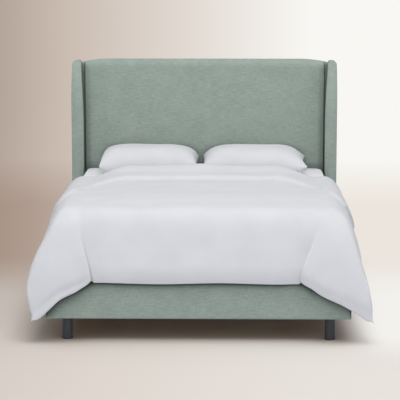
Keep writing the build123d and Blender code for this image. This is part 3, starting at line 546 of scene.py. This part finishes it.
# Scales are one over the length of a streak in metres, about 8 mm across and 0.3 m along
pine_x = wood("planed_pine_across", "#D9BC8E", "#B98F5C", (3, 120, 120), 0.62)
pine_y = wood("planed_pine_along", "#D9BC8E", "#B98F5C", (120, 3, 120), 0.62)
pine_z = wood("planed_pine_upright", "#D9BC8E", "#B98F5C", (120, 120, 3), 0.62)
plywood = wood("sanded_birch_plywood", "#DCC499", "#C4A271", (5, 60, 12), 0.6)
stained = wood("black_stained_beech", "#393B42", "#2C2E33", (220, 220, 12), 0.5)
give(pine_y, "side_rail_left_board", "side_rail_right_board", "slat_ledge_left", "slat_ledge_right")
give(pine_x, "foot_rail_board", "headboard_top_rail", "headboard_mid_rail", "headboard_bottom_rail",
     "corner_blocks", *["slat_%d" % k for k in range(1, 6)])
give(pine_z, "headboard_stile_left", "headboard_stile_right", *["support_post_%d" % k for k in range(1, 4)])
give(plywood, "headboard_face_panel", "wing_left_board", "wing_right_board")
give(stained, "front_leg_left", "front_leg_right")


# Dust cloth on the back of the headboard: black spun-bonded cloth stapled over thin board.
dust_cloth, tree, shader = new_material("black_dust_cloth", roughness=0.95)
place = add(tree, "ShaderNodeTexCoord").outputs["Object"]
fleck = noise(tree, place, 420.0, 2.0)
tree.links.new(ramp(tree, fleck, (0.0, "#1C1C1E"), (1.0, "#3C3C3F")), shader.inputs["Base Color"])
give(dust_cloth, "headboard_back_panel")


# Steel: black powder-coated angles, zinc-plated bolts, screws and plates. Nylon glides and pads.

def coated(name, tones, metallic, roughness, grit, depth):
    """Plated, painted or moulded skin with a fine grain of the given size in metres."""
    material, tree, shader = new_material(name, metallic=metallic, roughness=roughness)
    place = add(tree, "ShaderNodeTexCoord").outputs["Object"]
    grain = noise(tree, place, 1 / grit, 2.0)
    tone = ramp(tree, grain, (0.0, tones[0]), (1.0, tones[1]))
    tree.links.new(tone, shader.inputs["Base Color"])
    relief(tree, shader, grain, 0.15, depth)
    return material


powder = coated("black_powder_coat", ("#17181A", "#222326"), 0.0, 0.5, 0.0012, 0.0002)
zinc = coated("bright_zinc_plate", ("#B9BDC2", "#D0D3D6"), 1.0, 0.32, 0.002, 0.0001)
nylon = coated("black_moulded_nylon", ("#141415", "#1E1F21"), 0.0, 0.55, 0.0015, 0.0001)
give(powder, "foot_corner_brackets", "head_brackets")
give(zinc, "bracket_bolts", "threaded_inserts", "wing_screws", "slat_and_ledge_screws",
     "leg_plate_screws", "leg_plates", "leg_hanger_bolts", "tee_nuts",
     *["levelling_stem_%d" % k for k in range(1, 4)])
give(nylon, "floor_glides", *["levelling_pad_%d" % k for k in range(1, 4)])


# Box spring and mattress: blocks covered in pale quilted ticking, with a taped edge sewn round
# the top and the bottom.

def cotton(name, pale, dark, crease, sheen):
    """Plain white cloth: faint blotches of tone, a fine weave and slight puckers in the relief."""
    material, tree, shader = new_material(
        name, roughness=0.88, sheen_weight=sheen, sheen_roughness=0.4, specular_ior_level=0.25)
    place = add(tree, "ShaderNodeTexCoord").outputs["Object"]
    tone = ramp(tree, noise(tree, place, 7.0, 3.0), (0.35, dark), (0.65, pale))
    tree.links.new(tone, shader.inputs["Base Color"])
    pucker = noise(tree, place, 34.0, 4.0, roughness=0.55)
    weave = noise(tree, place, 700.0, 1.0)
    relief(tree, shader, maths(tree, "MULTIPLY_ADD", weave, 0.06, pucker), crease, 0.004)
    return material


ticking = cotton("quilted_ticking", "#EDEDEA", "#E4E4E0", 0.15, 0.1)
percale = cotton("washed_cotton_percale", "#DADBDE", "#D6D7DA", 0.10, 0.12)


def ring_plan(half_x, low_y, high_y, corner, count):
    """Rounded rectangle in plan, with points spread evenly round it."""
    arcs = []
    for sx, sy, start in ((1, 1, 0), (-1, 1, 90), (-1, -1, 180), (1, -1, 270)):
        centre = sx * (half_x - corner), (high_y if sy > 0 else low_y) - sy * corner
        arcs.append(round_turn(centre, corner, start, start + 90, 12))
    return evenly(np.vstack(arcs), count)


def inwards(plan):
    """Middle of a ring in plan, and the direction towards it from each of its points."""
    middle = plan.mean(0)
    inward = middle - plan
    return middle, inward / np.linalg.norm(inward, axis=1, keepdims=True)


def level(plan, z):
    """The ring at one height."""
    return np.c_[plan, np.full(len(plan), z)]


def block_loops(name, corner, edge, tape, count=260):
    """Rounded block: rings from the middle of the bottom, over the sides, to the middle of the top."""
    low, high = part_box(name)
    plan = ring_plan(high.x, low.y, high.y, corner, count)
    middle, inward = inwards(plan)
    turn = np.linspace(0, np.pi / 2, 9)
    run = np.linspace(0.08, 0.92, 14)
    swell, tape_wide = 0.003, 0.006
    inset = np.concatenate([
        edge * (1 - np.sin(turn)), swell - swell * np.sin(np.pi * run), edge * quarter(9),
    ])
    z = np.concatenate([
        low.z + edge * quarter(9), low.z + run * (high.z - low.z), high.z - edge * (1 - np.sin(turn)),
    ])
    near_tape = np.minimum(np.abs(z - low.z - edge), np.abs(z - high.z + edge))
    inset = inset - tape * np.exp(-(near_tape / tape_wide) ** 2)
    rings = [level(plan + inward * move, height) for move, height in zip(inset, z)]
    for share in (0.75, 0.4, 0.0):
        rings.insert(0, level(middle + (plan - middle) * share, low.z))
        rings.append(level(middle + (plan - middle) * share, high.z))
    return np.array(rings)


for name, corner, edge in (("box_spring", 0.040, 0.012), ("mattress", 0.060, 0.024)):
    loops = block_loops(name, corner, edge, tape=0.0015)
    made = closed_mesh(name + "_ticking", loops, ticking)
    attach(made, name)
    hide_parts(name)


# Fitted sheet: thin white percale pulled over the mattress and tucked round its corners, with an
# elastic hem that draws it in below.

def sheet_rings():
    """Outer rings of the sheet, from its hem up the sides and over to the middle."""
    low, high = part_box("fitted_sheet")
    corner, edge, drawn_in = 0.0618, 0.0278, 0.0012
    plan = ring_plan(high.x - 0.0003, low.y, high.y, corner, count=300)
    middle, inward = inwards(plan)
    turn = np.linspace(0, np.pi / 2, 10)
    inset = np.concatenate([np.linspace(drawn_in, 0, 12), edge * quarter(10)])
    z = np.concatenate([np.linspace(low.z, high.z - edge - 0.01, 12), high.z - edge * (1 - np.sin(turn))])
    rings = [level(plan + inward * move, height) for move, height in zip(inset, z)]
    for share in (0.9, 0.75, 0.5, 0.25, 0.0):
        rings.append(level(middle + (plan + inward * edge - middle) * share, high.z))
    return np.array(rings)


# The cloth's inner face lies 0.9 mm below its outer one, and 1.2 mm in at 0.9 m from the middle
outer = sheet_rings()
centre = outer[-1].mean(0)
inner = outer.copy()
inner[..., :2] = centre[:2] + (outer[..., :2] - centre[:2]) * (1 - 0.0012 / 0.9)
inner[..., 2] = outer[..., 2] - 0.0009
loops = np.concatenate([outer[::-1], inner])
# Painted light: the sheet's cotton is whiter than the duvet's, so its shaded corners by the headboard read
# as lit
sheeting = cotton("cotton_percale_whitened_as_painted_light", "#EFEFF2", "#EAEBEE", 0.10, 0.12)
sheet = closed_mesh("fitted_sheet_percale", loops, sheeting, weld=0.00005)
# Flat, it covers the mattress and drops 0.29 m on each side. Each corner is cut and sewn, which
# takes up six tenths of its square.
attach(sheet, "mattress")
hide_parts("fitted_sheet")


# Duvet: a white percale cover filled with down, laid over the mattress so that it hangs at both
# sides and the foot. Each foot corner falls as a cone behind a folded crease, and the head end is
# turned back on itself as a second layer.

# The grid: half width and foot of the flat top, its head end, and the crease and its half width
X_EDGE, Y_EDGE, Y_HEAD = 0.690, -0.900, 0.4645
CREASE, CREASE_HALF = 0.635, 0.030
# Where the turned-back layer starts, how far it lifts, and how far its head end is bunched up
FLAP_Y, FLAP_LIFT, BUNCH = 0.150, 0.021, 0.026
# How far down the fall that layer's side hem lies, and how many metres the whole fall is taken as
FLAP_SIDE, FALL_LONG = 0.735, 0.45
# Heights of the top's middle, of its edge, and of the inner face over the sheet
TOP_Z, EDGE_Z, UNDER_Z = 0.719, 0.7045, 0.6672
# Hems of the front panel and the sides, and how far the top's sides sink near the head
PANEL_HEM, SIDE_HEM, SINK = 0.311, 0.320, 0.038

# Share of the fall along its length, and how far down that is
FALL_W = np.array([0, .10, .185, .262, .358, .545, .730, .863, .954, 1.0])
FALL_Z = np.array([0, .006, .037, .102, .213, .440, .667, .831, .944, 1.0])
# Down the fall: how far out the front panel hangs, and the sides away from the foot
FRONT_Y = np.array([-.900, -.945, -.985, -1.013, -1.033, -1.056, -1.075, -1.085, -1.079, -1.065])
SIDE_X = np.array([.690, .724, .756, .787, .820, .858, .888, .905, .916, .921])
# Half widths at the foot end of each side, and along each cone, for the left and the right
FOOT_X = np.array([[.690, .725, .752, .776, .793, .834, .876, .896, .903, .905],
                   [.690, .727, .762, .792, .812, .836, .866, .886, .896, .900]])
TIP_X = np.array([[.690, .722, .750, .774, .804, .872, .903, .895, .887, .873],
                  [.690, .724, .762, .798, .820, .859, .899, .917, .927, .925]])
# How far out the cones hang, and how thick the filling is
TIP_Y = np.array([-.900, -.937, -.975, -1.015, -1.050, -1.095, -1.120, -1.130, -1.129, -1.126])
THICK = np.array([.0373, .034, .030, .028, .026, .022, .019, .017, .015, .015])
# How far the crease leans in towards its bottom, for the left and the right
CREASE_IN = np.array([.072, .100])
# Where the turned-back layer's edge lies: place across the top and down the side, and along Y
EDGE_AT = np.array([0, .34, .43, .51, .60, .66, .72, .77, .81, .87, .95, 1.02, 1.10])
EDGE_Y = np.array([FLAP_Y, FLAP_Y, .135, .085, -.005, -.120, -.300, -.440, -.490, -.440, -.260,
                   -.060, .120])
# Height of the hem from the crease to the tip, for the left and the right
HEM_AT = np.array([0, .10, .24, .43, .55, .66, .81, .93, 1.0])
HEM_Z = np.array([[.350, .305, .273, .247, .227, .195, .153, .123, .105],
                  [.351, .306, .262, .227, .208, .186, .150, .119, .107]])


def lines(start, stop, step, *dense):
    """Grid lines at an even step, closer together round each given place."""
    marks = [np.linspace(start, stop, int(round((stop - start) / step)) + 1)]
    for centre, half, fine in dense:
        marks = [m[(m < centre - half) | (m > centre + half)] for m in marks]
        marks.append(np.linspace(centre - half, centre + half, int(round(2 * half / fine)) + 1))
    every = np.concatenate(marks)
    return np.unique(np.round(every[(every >= start) & (every <= stop)], 6))


def soft_curve(w, table, at=FALL_W):
    """A table over the fall, or other places, read with smooth cubic steps between its points."""
    slope = np.gradient(table, at)
    k = np.clip(np.searchsorted(at, w, side="right") - 1, 0, len(at) - 2)
    h = at[k + 1] - at[k]
    t = (w - at[k]) / h
    a, b = 2 * t ** 3 - 3 * t ** 2 + 1, t ** 3 - 2 * t ** 2 + t
    c, d = -2 * t ** 3 + 3 * t ** 2, t ** 3 - t ** 2
    return a * table[k] + b * h * slope[k] + c * table[k + 1] + d * h * slope[k + 1]


# Where the two skins draw together: a share of the fall, and metres at the head end
RIM, HEAD_RIM = 0.016, 0.029
fall = lines(0, 0.98, 0.0198, (FLAP_SIDE, 0.060, 0.0075))[1:]
fall = np.concatenate([fall, 1 - (RIM * quarter(6))[::-1]])
fall = np.unique(np.round(fall, 6))
centre_x = lines(0, X_EDGE, 0.0172, (CREASE, 0.045, 0.0036))
top_y = lines(Y_EDGE, Y_HEAD - 0.03, 0.0165, (FLAP_Y, 0.042, 0.0042), (-0.1, 0.206, 0.009))
top_y = np.unique(np.round(np.concatenate([top_y, Y_HEAD - HEAD_RIM * quarter(8)]), 6))

# Each column has a place across the top and a share of the fall at the side, and each row the
# same from the foot to the head
half_x = np.concatenate([centre_x, np.full(len(fall), X_EDGE)])
half_w = np.concatenate([np.zeros(len(centre_x)), fall])
sign = np.concatenate([-np.ones(len(half_x) - 1), np.ones(len(half_x))])
col_x = np.concatenate([half_x[:0:-1], half_x])
col_w = np.concatenate([half_w[:0:-1], half_w])
row_y = np.concatenate([np.full(len(fall), Y_EDGE), top_y])
row_w = np.concatenate([fall[::-1], np.zeros(len(top_y))])

CX, CW, SIGN = (np.broadcast_to(v[:, None], (len(col_x), len(row_y))) for v in (col_x, col_w, sign))
RY, RW = (np.broadcast_to(v[None, :], (len(col_x), len(row_y))) for v in (row_y, row_w))


def sided(left, right):
    """The first on the left half and the second on the right half."""
    return np.where(SIGN < 0, left, right)


def soft_curves(w, tables, *at):
    """The left table read on the left half, and the right table on the right half."""
    return sided(*(soft_curve(w, table, *at) for table in tables))


def duvet_base():
    """Smooth drape: top, front, sides and corner cones, for each column and row of the grid."""
    # Share of the fall, and place round the corner from 0 at the front to 1 at the side
    w = np.maximum(CW, RW)
    q = np.where(RW >= CW, 0.5 * CW / np.maximum(RW, 1e-9), 1 - 0.5 * RW / np.maximum(CW, 1e-9))
    q = np.where(w == 0, 0, q)
    w = w * (1 - 0.028 * np.exp(-((2 - CW - RW) / 0.07) ** 2))
    tip_x, tip_y = soft_curves(w, TIP_X), soft_curve(w, TIP_Y)
    front_y = soft_curve(w, FRONT_Y)
    crease = CREASE - sided(*CREASE_IN) * smooth((w - 0.3) / 0.7)
    # Share of the way from the crease to the cone's ridge: by place on the top at first, and by
    # place round the corner further down
    early = np.clip((CX - CREASE) / (X_EDGE - CREASE), 0, 1)
    late = np.clip((CX - CREASE + 0.4 * q) / (X_EDGE - CREASE + 0.2), 0, 1)
    f = early + (late - early) * smooth(w / 0.35)
    x_front = np.where(CX <= CREASE, CX * crease / CREASE, crease + f * (tip_x - crease))
    y_front = front_y + f * (tip_y - front_y) - 0.014 * smooth(w / 0.5) * 4 * f * (1 - f)
    back = np.clip(2 * q - 1, 0, 1)
    y_side = np.where(RW > 0, tip_y + back * (Y_EDGE - tip_y), RY)
    to_foot = 1 - smooth((y_side + 0.95) / 0.85)
    side_x = soft_curve(w, SIDE_X)
    side_x = side_x + (soft_curves(w, FOOT_X) - side_x) * to_foot
    x_side = side_x + (tip_x - side_x) * (1 - smooth((y_side - tip_y) / 0.38))
    on_side = CW > RW
    hem_front = soft_curves(np.clip(f, 0, 1), HEM_Z, HEM_AT)
    panel = PANEL_HEM + 0.0035 * np.sin(8.4 * (SIGN * CX + 0.05))
    hem_front = panel + (hem_front - panel) * smooth((CX - CREASE + 0.020) / 0.030)
    tip_z = sided(*HEM_Z[:, -1])
    hem_side = tip_z + (SIDE_HEM - tip_z) * np.clip((y_side - tip_y) / 0.56, 0, 1) ** 0.85
    hem = np.where(on_side, hem_side, hem_front)
    z = EDGE_Z - soft_curve(w, FALL_Z) * (EDGE_Z - hem)
    on_top = (CW == 0) & (RW == 0)
    # The top swells towards the foot and its sides, and lies lower just below the turned-back layer
    u, v = CX / X_EDGE, np.clip((RY - Y_EDGE) / 0.42, 0, 1)
    crowned = EDGE_Z + (TOP_Z - EDGE_Z) * (1 - u ** 6) * smooth(v) ** 0.8
    crowned = crowned + 0.006 * (1 - u ** 4) * np.exp(-((RY + 0.56) / 0.14) ** 2)
    rim_y, rim_x = [-0.9, -0.6, -0.42, -0.27, -0.1, 0.05], [0.69, 0.683, 0.667, 0.637, 0.596, 0.48]
    hollow = smooth((np.interp(RY, rim_y, rim_x) - CX) / 0.10) * smooth((RY + 0.72) / 0.45)
    crowned = crowned - 0.013 * hollow * (1 - 0.4 * smooth((RY - 0.1) / 0.2))
    # Near the head the top falls away sooner towards the sides
    crowned = crowned - SINK * smooth((CX - 0.44) / 0.25) * smooth((RY + 0.45) / 0.6)
    z = z - SINK * (1 - smooth(w / 0.3)) * smooth((y_side + 0.45) / 0.6) * on_side
    x = np.where(on_side, x_side, x_front)
    y = np.where(on_side, y_side, y_front)
    x = np.where(on_top, CX, x)
    y = np.where(on_top, RY, y)
    z = np.where(on_top, crowned, z)
    return np.stack([SIGN * x, y, z], -1)


def relaxed(grid, rounds, mask):
    """Each point drawn towards the middle of its four neighbours, where the mask allows.

    The grid's side hems and foot hem are evened along themselves.
    """
    for _ in range(rounds):
        middle = grid.copy()
        middle[1:-1] = (grid[:-2] + grid[2:]) / 2
        other = grid.copy()
        other[:, 1:-1] = (grid[:, :-2] + grid[:, 2:]) / 2
        grid = grid + mask[..., None] * ((middle + other) / 2 - grid) * 0.8
        for edge in (grid[0], grid[-1], grid[:, 0]):
            edge[1:-1] += 0.3 * ((edge[:-2] + edge[2:]) / 2 - edge[1:-1])
    return grid


def frame_of(grid):
    """Unit tangents along the columns and the rows, and the normal."""
    du, dv = np.gradient(grid, axis=0), np.gradient(grid, axis=1)
    du /= np.linalg.norm(du, axis=-1, keepdims=True) + 1e-12
    dv /= np.linalg.norm(dv, axis=-1, keepdims=True) + 1e-12
    normal = np.cross(du, dv)
    normal /= np.linalg.norm(normal, axis=-1, keepdims=True) + 1e-12
    return du, dv, normal


def moved(points, direction, by):
    """Points moved along a direction, each by its own distance."""
    return points + direction * by[..., None]


def creased(base, deep):
    """The drape with the front panel passed behind the rolled edge of the cone at each corner.

    Beside the crease the panel moves outwards and back, and the cone's edge inwards and forwards.
    """
    t = (CX - CREASE) / CREASE_HALF
    swing = np.where(np.abs(t) < 1.6, np.sin(np.pi * t / 1.6) * np.cos(np.pi * t / 3.2) ** 2, 0)
    push = np.tanh(1.6 * t) * np.exp(-np.abs(t) / sided(0.9, 2.2)) * sided(0.5, 0.9)
    push = push * np.where(CW > 0, np.exp(-CW * 3 / np.maximum(RW, 1e-6)), 1)
    outwards = np.stack([SIGN, 0 * SIGN, 0 * SIGN], -1)
    folded = moved(base, outwards, -deep * swing * sided(0.018, 0.028))
    return moved(folded, np.array([0, -1, 0]), deep * push * 0.021)


def turned_back(base, folded, normal):
    """Outer face with the turned-back layer on it, and how far that layer lifts it.

    The layer starts at a rolled hem across the bed, and ends above the side hems.
    """
    at = CX + FALL_LONG * CW
    step, roll_half = 0.004, 0.024
    rise = soft_curve(at + step, EDGE_Y, EDGE_AT) - soft_curve(at - step, EDGE_Y, EDGE_AT)
    slope = rise / (2 * step)
    steep = np.sqrt(1 + slope ** 2)
    reach = (RY - soft_curve(at, EDGE_Y, EDGE_AT)) / steep
    side_reach = (FLAP_SIDE - CW) * FALL_LONG
    past_hem = np.where(RW > 0, -1, np.minimum(reach, side_reach))
    t = np.clip((past_hem + roll_half) / (2 * roll_half), 0, 1)
    lift = FLAP_LIFT * smooth(t) * (1 - sided(0.5, 0.25) * smooth(CW / 0.25))
    # Its head end is bunched up against the pillows, and lies low at the bed's sides
    across = smooth((0.66 - CX) / 0.24)
    between = 1 + 0.35 * np.exp(-((CX * SIGN + 0.005) / 0.09) ** 2)
    lift = lift + BUNCH * across * between * smooth((RY - 0.27) / 0.14)
    roll = (0.002 + 0.006 * smooth(CW / 0.4)) * np.sin(2 * np.pi * t)
    du, dv, _ = frame_of(base)
    to_head = (dv - du * (slope * SIGN)[..., None]) / steep[..., None]
    hem_way = np.where((reach > side_reach)[..., None], -du * SIGN[..., None], to_head)
    return moved(moved(folded, normal, lift), hem_way, roll), lift


inside = np.ones(CX.shape)
inside[0], inside[-1], inside[:, 0], inside[:, -1] = 0, 0, 0, 0
base = relaxed(duvet_base(), 14, inside)
w = np.maximum(CW, RW)
# How deep the crease is: not at all at the top's edge, and wholly low down on the front
deep = np.where((RW > 0) & (RW >= CW), smooth((RW - 0.32) / 0.45), 0)
folded = creased(base, deep)
normal = frame_of(folded)[2]
outer, lift = turned_back(base, folded, normal)

# Soft swells in the filling
x, y, z = outer[..., 0], outer[..., 1], outer[..., 2]
swell = 0.0025 * np.sin(3.1 * x + 1.3) * np.sin(4.7 * y + 0.4)
swell = swell + 0.0018 * np.sin(9.0 * x + 5.0 * y) * np.sin(7.0 * z + 2.0)
outer = moved(outer, normal, swell * smooth((1 - w) / 0.2))

# Above the left cone's hem the filling thins and the cover turns out into a thin piped edge. The
# right cone curves under instead.
on_cone = smooth((CX - CREASE) / 0.05)
piped = np.exp(-((w - 0.940) / 0.038) ** 2) * on_cone
outer = moved(outer, normal, -sided(0.0085, 0.002) * piped)
outer = moved(outer, normal, -sided(0, 0.006) * smooth((w - 0.86) / 0.14) * on_cone)
# Small dimple where the left crease starts
spot = np.exp(-((outer[..., 0] * SIGN - 0.636) / 0.026) ** 2 - ((outer[..., 2] - 0.678) / 0.024) ** 2)
outer = moved(outer, normal, -0.010 * spot * (outer[..., 1] < -0.9) * sided(1.0, 0.25))
# The left crease is pinched to a narrow line where the front panel meets the cone
pinch = np.exp(-((CX - CREASE + 0.009) / 0.0065) ** 2) * deep * sided(0.0075, 0.0)
outer = moved(outer, normal, -pinch)

# The filling is pressed thin along the ridge of each cone and inside the crease
thick = soft_curve(w, THICK)
thick = thick * (1 - 0.6 * np.exp(-((CW - RW) / 0.12) ** 2) * smooth(w / 0.4))
thick = thick * (1 - 0.5 * deep * np.exp(-(((CX - CREASE) / CREASE_HALF) / 1.2) ** 2))
thick = np.where(w == 0, np.maximum(folded[..., 2] - UNDER_Z, 0.004), thick) + lift
# The two skins meet in a round edge along every hem
from_hem = np.clip((1 - w) / RIM, 0, 1)
from_head = np.where(RW > 0, 1, np.clip((Y_HEAD - RY) / HEAD_RIM, 0, 1))
rounding = np.minimum(np.sqrt(1 - (1 - from_hem) ** 2), np.sqrt(1 - (1 - from_head) ** 2))
skins = [moved(outer, normal, -thick * (1 - way * rounding) / 2).reshape(-1, 3) for way in (1, -1)]
quads = grid_quads(*CX.shape)
faces = np.concatenate([quads, quads[:, ::-1] + CX.size])
duvet = new_mesh("duvet_percale", np.concatenate(skins), faces, percale, weld=0.000005)
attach(duvet, "duvet")
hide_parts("duvet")


# Pillows: two down pillows in plain percale cases, lying flat with their crowned tops against the
# headboard. The case's corners stand out as points, and its sides pull in between them.

def pillow_points(low_x, high_x, low, high, ends, seed):
    """Two crowned sheets over a plan with drawn-in sides, meeting at a seam.

    The crown over the plan is (1 - |u|^p)^q times the same in v, with its own p and q at each end.
    """
    n, m = 110, 80
    u = np.sin(np.linspace(-np.pi / 2, np.pi / 2, n))[:, None]
    v = np.sin(np.linspace(-np.pi / 2, np.pi / 2, m))[None, :]
    half = np.array([(high_x - low_x) / 2, (high.y - low.y) / 2])
    middle = np.array([(high_x + low_x) / 2, (high.y + low.y) / 2])
    p, q, pull, rear_z = (np.where(u < 0, ends[0][k], ends[1][k]) for k in range(4))
    front_z = low.z + 0.036 + 0.033 * np.abs(u) ** 4
    lean = (1 - np.abs(u)) * 0.5
    rear_z = rear_z * (1 - lean) + lean * (ends[0][3] + ends[1][3]) / 2
    seam = front_z + (rear_z - front_z) * (v + 1) / 2 - 0.006 * (1 - v ** 2) * u ** 4
    x = middle[0] + half[0] * u * (1 - pull * (1 - v ** 2) * np.abs(u) ** 3 - 0.02 * (1 - v) / 2)
    y = middle[1] + half[1] * v * (1 - 0.055 * (1 - u ** 2) * np.abs(v) ** 3)
    full = (1 - np.abs(u) ** p) ** q * (1 - np.abs(v) ** 2.7) ** 0.54
    rng = np.random.default_rng(seed)
    ripple = 0
    for k in range(7):
        a, b, c = rng.uniform(-12, 12), rng.uniform(4, 16), rng.uniform(0, 6.3)
        ripple = ripple + 0.0009 * np.sin(a * (x - middle[0]) * 2.4 + b * (y - middle[1]) * 2.4 + c)
    # Small tucks run in from the seam where the cloth is gathered at the four corners
    corner = np.hypot((1 - np.abs(u)) * half[0], (1 - np.abs(v)) * half[1])
    angle = np.arctan2((1 - np.abs(v)) * half[1] + 1e-6, (1 - np.abs(u)) * half[0] + 1e-6)
    tucks = 0.0022 * np.sin(angle * 13 + seed) * np.exp(-((corner - 0.075) / 0.045) ** 2)
    top = seam + (high.z - 0.008 - seam) * full + (ripple + tucks) * full ** 0.5
    bottom = np.maximum(seam - 0.10 * full, low.z + 0.0003)
    upper = np.stack(np.broadcast_arrays(x, y, np.minimum(top, high.z)), -1).reshape(-1, 3)
    lower = np.stack(np.broadcast_arrays(x, y, bottom), -1).reshape(-1, 3)
    quads = grid_quads(n, m)
    return np.concatenate([upper, lower]), np.concatenate([quads, quads[:, ::-1] + n * m])


# Each end: how square and how full its crown is, how far its side draws in, height of its tip.
# The inner ends of both lie 20 mm further to the left than in the solids, the outer ends as there.
for word, slip, ends, seed in (
    ("left", (0, -0.020), ((6.0, 0.42, 0.020, 0.749), (4.8, 0.46, 0.025, 0.742)), 3),
    ("right", (-0.020, 0), ((4.6, 0.52, 0.015, 0.752), (4.2, 0.64, 0.070, 0.748)), 8),
):
    node = "pillow_" + word
    low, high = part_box(node)
    points, faces = pillow_points(low.x + slip[0], high.x + slip[1], low, high, ends, seed)
    pillow = new_mesh(node + "_percale", points, faces, percale, weld=0.000002)
    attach(pillow, node)
    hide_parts(node)
